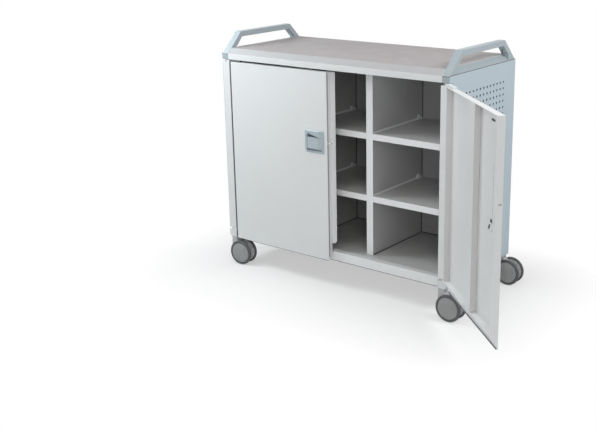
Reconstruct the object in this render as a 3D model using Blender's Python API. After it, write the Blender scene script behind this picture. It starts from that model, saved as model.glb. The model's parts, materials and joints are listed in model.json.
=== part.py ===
"""Mobile storage cabinet: three columns of shelves behind two doors, on four casters.

X runs across the front, Y from the front to the back and Z up from the floor.
The right door stands open, the left door is closed.
"""
import math

import bpy
import bmesh
from mathutils import Matrix, Vector

# General fits and sheet
fit_gap = 0.0003
sheet = 0.0015
overcut = 0.004

# Carcass
cabinet_width = 0.900
cabinet_depth = 0.400
panel_height = 0.634
post_width = 0.030
post_depth = 0.030
post_block = 0.040
panel_rim = 0.012
back_inset = 0.060
back_flange = 0.020

# Casters
wheel_diameter = 0.088
wheel_width = 0.014
wheel_gap = 0.024
wheel_sides = 28
disc_radius = 0.034
disc_step = 0.0012
tread_shoulder = 0.0016
tread_round = 0.0042
axle_cover = 0.003
caster_trail = 0.030
front_left_caster_turn = 6.0
stem_margin = 0.0006
stem_side = 0.022
stem_height = 0.012
body_block = 0.026
boss_radius = 0.015
kingpin_radius = 0.005
kingpin_length = 0.020
axle_radius = 0.004
running_gap = 0.0003

# Worktop and handles
edge_height = 0.020
edge_chamfer = 0.018
handle_width = 0.024
handle_bar = 0.018
handle_rise = 0.088
handle_lean = 0.069

# Perforated side skins
hole_diameter = 0.0075
hole_pitch_y = 0.0208
hole_pitch_z = 0.020
hole_margin_y = 0.072
hole_rows = 8
hole_top_drop = 0.042

# Interior
floor_height = 0.032
rail_clearance = 0.001
rail_drop = 0.0045
rail_chamfer_y = 0.009
rail_chamfer_z = 0.006
divider_thickness = 0.025
left_divider_x = -0.1475
right_divider_x = 0.130
interior_setback = 0.029
shelf_depth_lip = 0.020
lower_shelf_rise = 0.233
upper_shelf_rise = 0.438
ledge_width = 0.008
ledge_height = 0.008

# Doors
door_thickness = 0.020
door_side_gap = 0.007
door_meeting_gap = 0.003
door_skirt = 0.033
door_overhang = 0.002
door_lip = 0.015
door_open_degrees = 139.0
stiffener_width = 0.050
stiffener_center_x = 0.198
stiffener_end_gap = 0.0006

# Pivot arms
pivot_inset = 0.011
pivot_y = 0.008
arm_width = 0.012
arm_thickness = 0.0055
arm_reach = 0.040
arm_head_room = 0.0012
arm_pin_radius = 0.003
arm_pin_floor = 0.004
arm_slot_clearance = 0.001

# Latch
latch_center_x = 0.0515
latch_height = 0.3975
latch_width = 0.076
latch_tall = 0.076
latch_bevel = 0.005
latch_proud = 0.006
cup_width = 0.061
cup_tall = 0.067
cup_depth = 0.0165
paddle_thickness = 0.004
paddle_recess = 0.001
paddle_side_gap = 0.0008
finger_gap = 0.018
latch_pin_radius = 0.0015
latch_pin_y = 0.004
latch_pin_rise = 0.0045
latch_rim_rise = 0.0025
paddle_bottom_rise = 0.009
bolt_thickness = 0.004
bolt_depth = 0.008
bolt_front_y = 0.004
bolt_throw = 0.012
bolt_inside = 0.005
bolt_clearance = 0.0006

# Left door lip, right door strike bar and the catch
meeting_lip_reach = 0.017
meeting_lip_floor_gap = 0.023
strike_bar_width = 0.004
strike_bar_low = 0.340
strike_bar_high = 0.500
catch_width = 0.040
catch_depth = 0.024
catch_height = 0.015
catch_center_x = 0.055

# Places that follow from the sizes above
half_width = cabinet_width / 2
panel_bottom = wheel_diameter + stem_height
panel_top = panel_bottom + panel_height
inner_x = half_width - post_width
panel_outer_x = half_width - sheet - fit_gap
handle_inner_x = panel_outer_x - handle_width
floor_top = panel_bottom + floor_height
back_wall_y = cabinet_depth - back_inset
rail_front_y = door_thickness + rail_clearance
interior_front_y = rail_front_y + interior_setback
shelf_rises = {"lower": lower_shelf_rise, "upper": upper_shelf_rise}
hole_columns = 1 + int((cabinet_depth - 2 * hole_margin_y) / hole_pitch_y)
door_top = panel_top - arm_head_room - arm_thickness - fit_gap
door_bottom = panel_bottom - door_overhang
door_flange_z = door_bottom + door_skirt
door_hinge_x = inner_x - door_side_gap
door_free_x = door_meeting_gap / 2
pivot_x = half_width - pivot_inset
latch_z = panel_bottom + latch_height
latch_pin_z = latch_z - cup_tall / 2 + sheet + latch_pin_rise
slot_depth = pivot_y + arm_width / 2 + 2 * arm_slot_clearance
upper_arm_z = door_top + fit_gap
lower_arm_z = door_flange_z - fit_gap - arm_thickness
arm_pin_length = lower_arm_z - panel_bottom - arm_pin_floor
caster_x = inner_x + stem_side / 2 + stem_margin
caster_y = stem_side / 2 + stem_margin
wheel_radius = wheel_diameter / 2


# Scene and materials

def clear_scene():
    for item in list(bpy.data.objects):
        bpy.data.objects.remove(item)


def make_material(name, colour, roughness, metallic=0.0):
    material = bpy.data.materials.new(name)
    material.use_nodes = True
    shader = material.node_tree.nodes["Principled BSDF"]
    shader.inputs["Base Color"].default_value = (*colour, 1.0)
    shader.inputs["Roughness"].default_value = roughness
    shader.inputs["Metallic"].default_value = metallic
    material.diffuse_color = (*colour, 1.0)
    return material


# Solid builders

def solid_from(builder):
    mesh = bpy.data.meshes.new("solid")
    bmesh.ops.recalc_face_normals(builder, faces=builder.faces)
    builder.to_mesh(mesh)
    builder.free()
    solid = bpy.data.objects.new("solid", mesh)
    bpy.context.scene.collection.objects.link(solid)
    return solid


def prism(outline, axis, start, end):
    """Closed outline in the two other axes, in X, Y, Z order, drawn out along one axis."""
    builder = bmesh.new()
    rings = []
    for place in (start, end):
        ring = []
        for first, second in outline:
            point = [first, second]
            point.insert("XYZ".index(axis), place)
            ring.append(builder.verts.new(point))
        rings.append(ring)
    builder.faces.new(rings[0])
    builder.faces.new(rings[1])
    count = len(outline)
    for index in range(count):
        after = (index + 1) % count
        builder.faces.new((rings[0][index], rings[0][after], rings[1][after], rings[1][index]))
    return solid_from(builder)


def box(low, high):
    outline = ((low[0], low[1]), (high[0], low[1]), (high[0], high[1]), (low[0], high[1]))
    return prism(outline, "Z", low[2], high[2])


def circle(center, radius, sides, turn=0.0):
    points = []
    for index in range(sides):
        angle = turn + 2 * math.pi * index / sides
        points.append((center[0] + radius * math.cos(angle), center[1] + radius * math.sin(angle)))
    return points


def rod(center, radius, axis, start, end, sides=20):
    return prism(circle(center, radius, sides), axis, start, end)


def turned(profile, center, sides):
    """Profile of radius and Y, from axis to axis, turned about an axis along Y."""
    builder = bmesh.new()
    rings = []
    for radius, place in profile:
        if radius == 0.0:
            rings.append([builder.verts.new((center[0], place, center[1]))])
            continue
        flat_down = math.pi / sides - math.pi / 2
        ring = [builder.verts.new((x, place, z)) for x, z in circle(center, radius, sides, flat_down)]
        rings.append(ring)
    for near, far in zip(rings, rings[1:]):
        for index in range(sides):
            after = (index + 1) % sides
            corners = []
            for ring, step in ((near, index), (near, after), (far, after), (far, index)):
                corner = ring[step % len(ring)]
                if corner not in corners:
                    corners.append(corner)
            builder.faces.new(corners)
    return solid_from(builder)


def combine(target, tool, operation):
    modifier = target.modifiers.new("combine", "BOOLEAN")
    modifier.object = tool
    modifier.operation = operation
    modifier.solver = "EXACT"
    view = bpy.context.evaluated_depsgraph_get()
    mesh = bpy.data.meshes.new_from_object(target.evaluated_get(view))
    target.modifiers.clear()
    target.data = mesh
    bpy.data.objects.remove(tool)
    return target


def cut(target, tool):
    return combine(target, tool, "DIFFERENCE")


def weld(target, tool):
    return combine(target, tool, "UNION")


def mirror(solid):
    solid.data.transform(Matrix.Scale(-1, 4, (1, 0, 0)))
    solid.data.flip_normals()
    return solid


# Placing pieces on their holders

holder_places = {}


def make_holder(name, place, parent=None):
    holder = bpy.data.objects.new(name, None)
    bpy.context.scene.collection.objects.link(holder)
    holder_places[name] = Vector(place)
    holder.location = Vector(place)
    if parent is not None:
        holder.parent = parent
        holder.location = Vector(place) - holder_places[parent.name]
    return holder


def place_piece(solid, name, material, holder, smooth=False):
    solid.name = name
    solid.data.name = name
    solid.data.materials.clear()
    solid.data.materials.append(material)
    solid.data.transform(Matrix.Translation(-holder_places[holder.name]))
    solid.parent = holder
    for face in solid.data.polygons:
        face.use_smooth = smooth
    return solid


# Carcass pieces

def side_panel():
    low = (inner_x, 0.0, panel_bottom)
    high = (panel_outer_x, cabinet_depth, panel_top)
    panel = box(low, high)
    pocket_low = (inner_x + sheet, post_depth, panel_bottom + panel_rim)
    pocket_high = (panel_outer_x + overcut, cabinet_depth - post_depth, panel_top - panel_rim)
    cut(panel, box(pocket_low, pocket_high))
    hollow_low = (inner_x + sheet, sheet, panel_bottom + post_block)
    hollow_high = (panel_outer_x - sheet, cabinet_depth - sheet, panel_top - post_block)
    cut(panel, box(hollow_low, hollow_high))
    for ledge in shelf_ledges(inner_x - ledge_width, inner_x + sheet / 2):
        weld(panel, ledge)
    for low_z, high_z in arm_slots():
        cut(panel, arm_slot(low_z, high_z))
        hole_end = low_z - arm_pin_length + arm_slot_clearance - fit_gap
        cut(panel, rod((pivot_x, pivot_y), arm_pin_radius + running_gap, "Z", hole_end, low_z + sheet))
    return panel


def shelf_ledges(low_x, high_x):
    ledges = []
    for rise in shelf_rises.values():
        top = panel_bottom + rise - sheet - fit_gap
        low = (low_x, interior_front_y + shelf_depth_lip, top - ledge_height)
        high = (high_x, back_wall_y - shelf_depth_lip, top)
        ledges.append(box(low, high))
    return ledges


def arm_slots():
    lower = (lower_arm_z - arm_slot_clearance, lower_arm_z + arm_thickness + arm_slot_clearance)
    upper = (upper_arm_z - arm_slot_clearance, panel_top + overcut)
    return lower, upper


def arm_slot(low_z, high_z):
    low = (inner_x - overcut, -overcut, low_z)
    high = (half_width + overcut, slot_depth, high_z)
    return box(low, high)


def side_skin():
    low = (half_width - sheet, 0.0, panel_bottom)
    high = (half_width, cabinet_depth, panel_top + edge_height)
    skin = box(low, high)
    lower, upper = arm_slots()
    cut(skin, arm_slot(*lower))
    cut(skin, arm_slot(upper[0], panel_top))
    holes = bmesh.new()
    for column in range(hole_columns):
        y = cabinet_depth / 2 + (column - (hole_columns - 1) / 2) * hole_pitch_y
        for row in range(hole_rows):
            z = panel_top - hole_top_drop - row * hole_pitch_z
            hole = rod((y, z), hole_diameter / 2, "X", half_width - overcut, half_width + overcut, 6)
            holes.from_mesh(hole.data)
            bpy.data.objects.remove(hole)
    cut(skin, solid_from(holes))
    return skin


def worktop():
    bottom = panel_top + fit_gap
    shoulder = panel_top + edge_height
    top = shoulder + edge_chamfer
    back = cabinet_depth
    outline = (
        (0.0, bottom),
        (back, bottom),
        (back, shoulder),
        (back - edge_chamfer, top),
        (edge_chamfer, top),
        (0.0, shoulder),
    )
    reach = handle_inner_x - fit_gap
    return prism(outline, "X", -reach, reach)


def handle():
    bottom = panel_top + fit_gap
    shoulder = panel_top + edge_height
    rail_top = shoulder + edge_chamfer
    grip_top = panel_top + handle_rise
    back = cabinet_depth
    outline = (
        (0.0, bottom),
        (back, bottom),
        (back, shoulder),
        (back - handle_lean, grip_top),
        (handle_lean, grip_top),
        (0.0, shoulder),
    )
    frame = prism(outline, "X", handle_inner_x, panel_outer_x)
    slope = handle_lean / (grip_top - shoulder)
    leg_width = handle_bar * math.hypot(1.0, slope)
    low_y = leg_width + (rail_top - shoulder) * slope
    high_y = leg_width + (grip_top - handle_bar - shoulder) * slope
    window = (
        (low_y, rail_top),
        (back - low_y, rail_top),
        (back - high_y, grip_top - handle_bar),
        (high_y, grip_top - handle_bar),
    )
    cut(frame, prism(window, "X", handle_inner_x - overcut, panel_outer_x + overcut))
    slant = (
        (panel_outer_x - edge_chamfer - overcut, rail_top + overcut),
        (panel_outer_x + overcut, shoulder - overcut),
        (panel_outer_x + overcut, rail_top + overcut),
    )
    cut(frame, prism(slant, "Y", low_y, back - low_y))
    return frame


def bottom_panel():
    front = rail_front_y
    back = back_wall_y - fit_gap
    rail_top = floor_top - rail_chamfer_z
    low = panel_bottom - rail_drop
    outline = (
        (front, low),
        (front, rail_top),
        (front + rail_chamfer_y, floor_top),
        (back, floor_top),
        (back, panel_bottom),
        (back - sheet, panel_bottom),
        (back - sheet, floor_top - sheet),
        (front + rail_chamfer_y, floor_top - sheet),
        (front + sheet, rail_top - sheet / 2),
        (front + sheet, low),
    )
    reach = inner_x - fit_gap
    return prism(outline, "X", -reach, reach)


def back_panel():
    reach = inner_x - fit_gap
    low = (-reach, back_wall_y, panel_bottom)
    high = (reach, back_wall_y + back_flange, panel_top)
    panel = box(low, high)
    pocket_low = (-reach + sheet, back_wall_y + sheet, panel_bottom + sheet)
    pocket_high = (reach - sheet, back_wall_y + back_flange + overcut, panel_top - sheet)
    return cut(panel, box(pocket_low, pocket_high))


def divider(center_x):
    low_x = center_x - divider_thickness / 2
    high_x = center_x + divider_thickness / 2
    bottom = floor_top + fit_gap
    back = back_wall_y - fit_gap
    wall = box((low_x, interior_front_y, bottom), (high_x, back, panel_top))
    hollow_low = (low_x + sheet, interior_front_y + sheet, bottom + sheet)
    hollow_high = (high_x - sheet, back + overcut, panel_top - sheet)
    cut(wall, box(hollow_low, hollow_high))
    for ledge in shelf_ledges(low_x - ledge_width, low_x + sheet / 2):
        weld(wall, ledge)
    for ledge in shelf_ledges(high_x - sheet / 2, high_x + ledge_width):
        weld(wall, ledge)
    return wall


def shelf(low_x, high_x, rise):
    top = panel_bottom + rise
    lip = top - shelf_depth_lip
    front = interior_front_y
    back = back_wall_y - fit_gap
    outline = (
        (front, lip),
        (front, top),
        (back, top),
        (back, lip),
        (back - sheet, lip),
        (back - sheet, top - sheet),
        (front + sheet, top - sheet),
        (front + sheet, lip),
    )
    return prism(outline, "X", low_x + fit_gap, high_x - fit_gap)


def magnet_catch():
    low = (-catch_center_x - catch_width / 2, door_thickness + sheet, panel_top - catch_height)
    high = (-catch_center_x + catch_width / 2, door_thickness + sheet + catch_depth, panel_top)
    return box(low, high)


# Door pieces, drawn for a closed right door

def door_pan():
    free = door_free_x
    hinge = door_hinge_x
    depth = door_thickness
    pan = box((free, 0.0, door_bottom), (hinge, depth, door_top))
    hollow = (
        (free + sheet, sheet),
        (hinge - sheet, sheet),
        (hinge - sheet, depth + overcut),
        (free + door_lip, depth + overcut),
        (free + door_lip, depth - sheet),
        (free + sheet, depth - sheet),
    )
    cut(pan, prism(hollow, "Z", door_flange_z + sheet, door_top - sheet))
    skirt_low = (free + sheet, sheet, door_bottom - overcut)
    skirt_high = (hinge + overcut, depth + overcut, door_flange_z)
    cut(pan, box(skirt_low, skirt_high))
    corner = (
        (depth, door_flange_z),
        (sheet, door_bottom - fit_gap),
        (sheet, door_bottom - overcut),
        (depth + overcut, door_bottom - overcut),
        (depth + overcut, door_flange_z),
    )
    cut(pan, prism(corner, "X", free - overcut, free + sheet + overcut))
    cut(pan, bolt_slot(free - overcut, free + sheet + overcut))
    return pan


def bolt_slot(low_x, high_x):
    half = bolt_thickness / 2 + bolt_clearance
    low = (low_x, bolt_front_y - bolt_clearance, latch_z - half)
    high = (high_x, bolt_front_y + bolt_depth + bolt_clearance, latch_z + half)
    return box(low, high)


def latch_window(pan):
    half_x = cup_width / 2 + fit_gap
    half_z = cup_tall / 2 + fit_gap
    low = (latch_center_x - half_x, -overcut, latch_z - half_z)
    high = (latch_center_x + half_x, sheet + overcut, latch_z + half_z)
    return cut(pan, box(low, high))


def stiffener():
    low_x = stiffener_center_x - stiffener_width / 2
    high_x = stiffener_center_x + stiffener_width / 2
    low_z = door_flange_z + sheet + stiffener_end_gap
    high_z = door_top - sheet - stiffener_end_gap
    front = sheet + fit_gap
    back = door_thickness - fit_gap
    outline = (
        (low_x, front),
        (low_x + sheet, front),
        (low_x + sheet, back - sheet),
        (high_x - sheet, back - sheet),
        (high_x - sheet, front),
        (high_x, front),
        (high_x, back),
        (low_x, back),
    )
    return prism(outline, "Z", low_z, high_z)


def pivot_arm(low_z):
    near = pivot_y - arm_width / 2
    far = pivot_y + arm_width / 2
    outline = [(door_hinge_x - arm_reach, far), (door_hinge_x - arm_reach, near)]
    for step in range(9):
        angle = -math.pi / 2 + math.pi * step / 8
        x = pivot_x + arm_width / 2 * math.cos(angle)
        y = pivot_y + arm_width / 2 * math.sin(angle)
        outline.append((x, y))
    arm = prism(outline, "Z", low_z, low_z + arm_thickness)
    pin = rod((pivot_x, pivot_y), arm_pin_radius, "Z", low_z - arm_pin_length, low_z + arm_thickness / 2)
    return weld(arm, pin)


def meeting_lip():
    back = door_thickness + fit_gap
    low_z = floor_top + meeting_lip_floor_gap
    high_z = door_top
    inner = door_free_x + door_lip
    outer = -meeting_lip_reach
    outline = (
        (inner, low_z),
        (inner, high_z),
        (outer, high_z),
        (outer, low_z + meeting_lip_reach / 2),
        (outer + meeting_lip_reach / 2, low_z),
    )
    return prism(outline, "Y", back, back + sheet)


def strike_bar():
    low_x = door_free_x + door_lip + fit_gap
    low = (low_x, door_thickness / 2, panel_bottom + strike_bar_low)
    high = (low_x + strike_bar_width, door_thickness, panel_bottom + strike_bar_high)
    return box(low, high)


# Latch pieces, drawn on a closed right-hand door

def latch_bezel():
    x = latch_center_x
    builder = bmesh.new()
    rings = []
    for inset, y in ((0.0, -fit_gap), (latch_bevel, -latch_proud)):
        half_x = latch_width / 2 - inset
        half_z = latch_tall / 2 - inset
        corners = ((-half_x, -half_z), (half_x, -half_z), (half_x, half_z), (-half_x, half_z))
        rings.append([builder.verts.new((x + dx, y, latch_z + dz)) for dx, dz in corners])
    builder.faces.new(rings[0])
    builder.faces.new(rings[1])
    for index in range(4):
        after = (index + 1) % 4
        builder.faces.new((rings[0][index], rings[0][after], rings[1][after], rings[1][index]))
    bezel = solid_from(builder)
    cup_low = (x - cup_width / 2, -latch_proud / 2, latch_z - cup_tall / 2)
    cup_high = (x + cup_width / 2, cup_depth, latch_z + cup_tall / 2)
    weld(bezel, box(cup_low, cup_high))
    low = latch_z - cup_tall / 2 + sheet
    high = latch_z + cup_tall / 2 - sheet
    rim = low + latch_rim_rise
    hollow = (
        (-latch_proud - overcut, rim),
        (0.0, rim),
        (0.0, low),
        (cup_depth - sheet, low),
        (cup_depth - sheet, high),
        (-latch_proud - overcut, high),
    )
    half_x = cup_width / 2 - sheet
    cut(bezel, prism(hollow, "X", x - half_x, x + half_x))
    hole = (latch_pin_y, latch_pin_z)
    reach = cup_width / 2 + overcut
    cut(bezel, rod(hole, latch_pin_radius + running_gap, "X", x - reach, x + reach))
    wall = x - cup_width / 2
    cut(bezel, bolt_slot(wall - overcut, wall + sheet + overcut))
    return bezel


def latch_paddle():
    x = latch_center_x
    low = latch_z - cup_tall / 2 + sheet
    high = latch_z + cup_tall / 2 - sheet
    pin_z = latch_pin_z
    front = -latch_proud + paddle_recess
    back = front + paddle_thickness
    plate_low = low + paddle_bottom_rise
    plate_high = high - finger_gap
    knuckle = latch_pin_radius + sheet
    outline = [(back, plate_high), (front, plate_high), (front, plate_low)]
    for step in range(9):
        angle = -math.pi + math.pi * 1.5 * step / 8
        outline.append((latch_pin_y + knuckle * math.cos(angle), pin_z + knuckle * math.sin(angle)))
    outline.append((back, pin_z + 2 * knuckle))
    half_x = cup_width / 2 - sheet - paddle_side_gap
    paddle = prism(outline, "X", x - half_x, x + half_x)
    reach = half_x + overcut
    hole = rod((latch_pin_y, pin_z), latch_pin_radius + running_gap, "X", x - reach, x + reach)
    return cut(paddle, hole)


def latch_pin():
    x = latch_center_x
    reach = cup_width / 2 - fit_gap
    return rod((latch_pin_y, latch_pin_z), latch_pin_radius, "X", x - reach, x + reach)


def latch_bolt():
    tip = door_free_x - bolt_throw
    tail = latch_center_x - cup_width / 2 + sheet + bolt_inside
    half = bolt_thickness / 2
    low = (tip, bolt_front_y, latch_z - half)
    high = (tail, bolt_front_y + bolt_depth, latch_z + half)
    return box(low, high)


# Caster pieces, drawn about the swivel axis of one corner

def caster_stem(x, y):
    low_z = wheel_diameter
    high_z = panel_bottom - fit_gap
    half = stem_side / 2
    stem = box((x - half, y - half, low_z), (x + half, y + half, high_z))
    pin = rod((x, y), kingpin_radius, "Z", low_z - kingpin_length, low_z + stem_height / 2)
    return weld(stem, pin)


def caster_body(x, y):
    half = stem_side / 2
    top = wheel_diameter - running_gap
    axle_x = x + caster_trail
    outline = [(x - half, top - body_block), (x - half, top), (x + half, top)]
    for step in range(9):
        angle = math.radians(45 - 175 * step / 8)
        outline.append((axle_x + boss_radius * math.cos(angle), wheel_radius + boss_radius * math.sin(angle)))
    half_width_y = wheel_gap / 2 - 2 * running_gap
    body = prism(outline, "Y", y - half_width_y, y + half_width_y)
    hole_end = wheel_diameter - kingpin_length - running_gap
    cut(body, rod((x, y), kingpin_radius + running_gap, "Z", hole_end, top + overcut))
    bore = rod((axle_x, wheel_radius), axle_radius + running_gap, "Y", y - wheel_gap, y + wheel_gap)
    return cut(body, bore)


def caster_axle(x, y):
    reach = wheel_gap / 2 + wheel_width - axle_cover - fit_gap
    return rod((x + caster_trail, wheel_radius), axle_radius, "Y", y - reach, y + reach)


def caster_wheel(x, y, side):
    """Wheel with a proud disc; the flats of its faceted tread lie at the wheel radius."""
    inner = y + side * wheel_gap / 2
    outer = inner + side * wheel_width
    radius = wheel_radius / math.cos(math.pi / wheel_sides)
    bore = axle_radius + running_gap
    profile = (
        (0.0, outer),
        (disc_radius, outer),
        (disc_radius + disc_step, outer - side * disc_step),
        (radius - tread_shoulder, outer - side * disc_step),
        (radius, outer - side * tread_round),
        (radius, inner + side * tread_round),
        (radius - tread_shoulder, inner),
        (bore, inner),
        (bore, outer - side * axle_cover),
        (0.0, outer - side * axle_cover),
    )
    return turned(profile, (x + caster_trail, wheel_radius), wheel_sides)


# Finishes

def make_finishes():
    return {
        "white": make_material("white_paint", (0.80, 0.82, 0.84), 0.42),
        "blue": make_material("blue_grey_paint", (0.50, 0.58, 0.63), 0.45),
        "handle": make_material("handle_paint", (0.38, 0.44, 0.47), 0.38),
        "top": make_material("worktop_laminate", (0.55, 0.54, 0.53), 0.50),
        "inside": make_material("inside_paint", (0.50, 0.50, 0.51), 0.55),
        "latch": make_material("latch_moulding", (0.42, 0.48, 0.52), 0.40),
        "steel": make_material("bright_steel", (0.60, 0.60, 0.60), 0.30, 1.0),
        "stem": make_material("caster_body", (0.36, 0.37, 0.38), 0.50),
        "wheel": make_material("wheel_rubber", (0.14, 0.145, 0.15), 0.60),
        "dark": make_material("catch_moulding", (0.08, 0.08, 0.085), 0.50),
    }


# Assembly

def build_carcass(finish, root):
    place_piece(worktop(), "worktop", finish["top"], root)
    place_piece(bottom_panel(), "bottom_panel", finish["white"], root)
    place_piece(back_panel(), "back_panel", finish["inside"], root)
    place_piece(magnet_catch(), "magnet_catch", finish["dark"], root)
    place_piece(side_panel(), "right_side_panel", finish["white"], root)
    place_piece(mirror(side_panel()), "left_side_panel", finish["white"], root)
    place_piece(side_skin(), "right_side_skin", finish["blue"], root)
    place_piece(mirror(side_skin()), "left_side_skin", finish["blue"], root)
    place_piece(handle(), "right_handle", finish["handle"], root)
    place_piece(mirror(handle()), "left_handle", finish["handle"], root)
    place_piece(divider(right_divider_x), "right_divider", finish["white"], root)
    place_piece(divider(left_divider_x), "left_divider", finish["white"], root)


def build_shelves(finish, root):
    half = divider_thickness / 2
    columns = {
        "left": (-inner_x, left_divider_x - half),
        "middle": (left_divider_x + half, right_divider_x - half),
        "right": (right_divider_x + half, inner_x),
    }
    for column, (low_x, high_x) in columns.items():
        for name, rise in shelf_rises.items():
            place_piece(shelf(low_x, high_x, rise), f"{column}_{name}_shelf", finish["white"], root)


def build_right_door(finish, root):
    hinge = make_holder("right_door_axis", (pivot_x, pivot_y, panel_bottom), root)
    hinge.rotation_euler.z = math.radians(door_open_degrees)
    place_piece(door_pan(), "right_door_pan", finish["white"], hinge)
    place_piece(stiffener(), "right_door_stiffener", finish["white"], hinge)
    place_piece(strike_bar(), "right_door_strike", finish["steel"], hinge)
    place_piece(pivot_arm(upper_arm_z), "right_upper_arm", finish["white"], hinge)
    place_piece(pivot_arm(lower_arm_z), "right_lower_arm", finish["white"], hinge)


def build_left_door(finish, root):
    hinge = make_holder("left_door_axis", (-pivot_x, pivot_y, panel_bottom), root)
    place_piece(mirror(latch_window(door_pan())), "left_door_pan", finish["white"], hinge)
    place_piece(mirror(stiffener()), "left_door_stiffener", finish["white"], hinge)
    place_piece(mirror(meeting_lip()), "left_door_lip", finish["white"], hinge)
    place_piece(mirror(pivot_arm(upper_arm_z)), "left_upper_arm", finish["white"], hinge)
    place_piece(mirror(pivot_arm(lower_arm_z)), "left_lower_arm", finish["white"], hinge)
    place_piece(mirror(latch_bezel()), "latch_bezel", finish["latch"], hinge)
    place_piece(mirror(latch_pin()), "latch_pin", finish["steel"], hinge)
    paddle_axis = make_holder("latch_paddle_axis", (-latch_center_x, latch_pin_y, latch_pin_z), hinge)
    place_piece(mirror(latch_paddle()), "latch_paddle", finish["latch"], paddle_axis)
    bolt_axis = make_holder("latch_bolt_axis", (-latch_center_x, bolt_front_y, latch_z), hinge)
    place_piece(mirror(latch_bolt()), "latch_bolt", finish["steel"], bolt_axis)


def build_casters(finish, root):
    corners = {
        "front_left": (-caster_x, caster_y, front_left_caster_turn),
        "front_right": (caster_x, caster_y, 0.0),
        "rear_left": (-caster_x, cabinet_depth - caster_y, 0.0),
        "rear_right": (caster_x, cabinet_depth - caster_y, 0.0),
    }
    for corner, (x, y, turn) in corners.items():
        place_piece(caster_stem(x, y), f"{corner}_stem", finish["stem"], root)
        swivel = make_holder(f"{corner}_swivel_axis", (x, y, wheel_diameter), root)
        swivel.rotation_euler.z = math.radians(turn)
        place_piece(caster_body(x, y), f"{corner}_caster_body", finish["stem"], swivel)
        place_piece(caster_axle(x, y), f"{corner}_axle", finish["steel"], swivel, True)
        spin = make_holder(f"{corner}_wheel_axis", (x + caster_trail, y, wheel_radius), swivel)
        place_piece(caster_wheel(x, y, -1), f"{corner}_near_wheel", finish["wheel"], spin, True)
        place_piece(caster_wheel(x, y, 1), f"{corner}_far_wheel", finish["wheel"], spin, True)


def center_on_floor(root):
    """Move the whole cabinet so that its box stands centred over the origin."""
    bpy.context.view_layer.update()
    low = Vector((math.inf, math.inf, math.inf))
    high = -low
    for piece in bpy.data.objects:
        if piece.type != "MESH":
            continue
        for vertex in piece.data.vertices:
            point = piece.matrix_world @ vertex.co
            low = Vector(map(min, low, point))
            high = Vector(map(max, high, point))
    root.location = (-(low.x + high.x) / 2, -(low.y + high.y) / 2, -low.z)


def build():
    clear_scene()
    finish = make_finishes()
    root = make_holder("cabinet", (0.0, 0.0, 0.0))
    build_carcass(finish, root)
    build_shelves(finish, root)
    build_right_door(finish, root)
    build_left_door(finish, root)
    build_casters(finish, root)
    center_on_floor(root)


build()
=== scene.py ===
"""Looks of the mobile storage cabinet: finishes, rounded edges, wheels, latch and small fittings."""

import json
import math

import bpy
import bmesh
from mathutils import Matrix, Vector


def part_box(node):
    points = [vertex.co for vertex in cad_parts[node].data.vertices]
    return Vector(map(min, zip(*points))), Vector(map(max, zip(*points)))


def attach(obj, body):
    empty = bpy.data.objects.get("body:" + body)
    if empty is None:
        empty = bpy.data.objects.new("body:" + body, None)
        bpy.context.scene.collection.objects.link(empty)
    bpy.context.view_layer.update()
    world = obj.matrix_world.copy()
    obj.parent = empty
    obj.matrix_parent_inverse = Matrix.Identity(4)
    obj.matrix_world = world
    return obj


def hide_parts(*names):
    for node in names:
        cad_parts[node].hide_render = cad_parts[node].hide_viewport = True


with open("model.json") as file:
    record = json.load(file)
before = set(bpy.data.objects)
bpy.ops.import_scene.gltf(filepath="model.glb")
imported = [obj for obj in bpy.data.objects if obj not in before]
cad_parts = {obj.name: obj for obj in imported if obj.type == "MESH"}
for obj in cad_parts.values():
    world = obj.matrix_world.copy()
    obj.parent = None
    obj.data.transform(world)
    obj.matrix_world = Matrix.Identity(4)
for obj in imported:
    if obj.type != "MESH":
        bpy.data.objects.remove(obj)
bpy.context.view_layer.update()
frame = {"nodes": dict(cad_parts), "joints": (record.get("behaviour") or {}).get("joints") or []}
nodes = frame["nodes"]
joints = {joint["name"]: joint for joint in frame["joints"]}

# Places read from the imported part
worktop_low, worktop_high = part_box("worktop")
skin_low, skin_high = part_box("right_side_skin")
far_skin_low, far_skin_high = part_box("left_side_skin")
panel_low, panel_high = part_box("right_side_panel")
center_x = (far_skin_low.x + skin_high.x) / 2
half_width = (skin_high.x - far_skin_low.x) / 2
front_y = worktop_low.y
cabinet_depth = worktop_high.y - worktop_low.y
panel_bottom = panel_low.z
panel_top = panel_high.z
corners = ("front_left", "front_right", "rear_left", "rear_right")
columns = ("left", "middle", "right")
sides = ("left", "right")
levels = ("lower", "upper")

# Sizes of what is drawn here
sheet = 0.0015
touch = 0.0001
hair_gap = 0.0003
overshoot = 0.002
hole_diameter = 0.0075
hole_pitch_y = 0.0208
hole_pitch_z = 0.020
hole_columns = 13
hole_rows = 8
hole_top_drop = 0.042
hole_sides = 20
# Plugs of painted shade in the skin holes:
hole_shade_plug_sides = 12
hole_shade_plug_clearance = 0.0002
arm_thickness = 0.0055
arm_slot_clearance = 0.001
arm_slot_depth = 0.016
arm_width = 0.012
post_width = 0.030
wheel_steps = 80
wheel_ribs = 14
disc_crown = 0.0040
disc_groove = ((0.0005, 0.0008), (0.0007, 0.0016), (0.0015, 0.0016), (0.0019, 0.0008))
tyre_corner = 0.0042
tyre_shoulder = 0.0004
wheel_bore = 0.0046
wheel_bore_depth = 0.0070
web_depth = 0.0034
rib_half = 0.0011
rib_span = (0.0012, 0.0040)
knuckle_radius = 0.0076
knuckle_clearance = 0.0006
knuckle_edge = 0.0006
# Dark strips of painted shade in the hinge gaps:
gap_shade_thickness = 0.0012
gap_shade_front = 0.0012
gap_shade_width = 0.0108
gap_shade_end = 0.002
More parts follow.
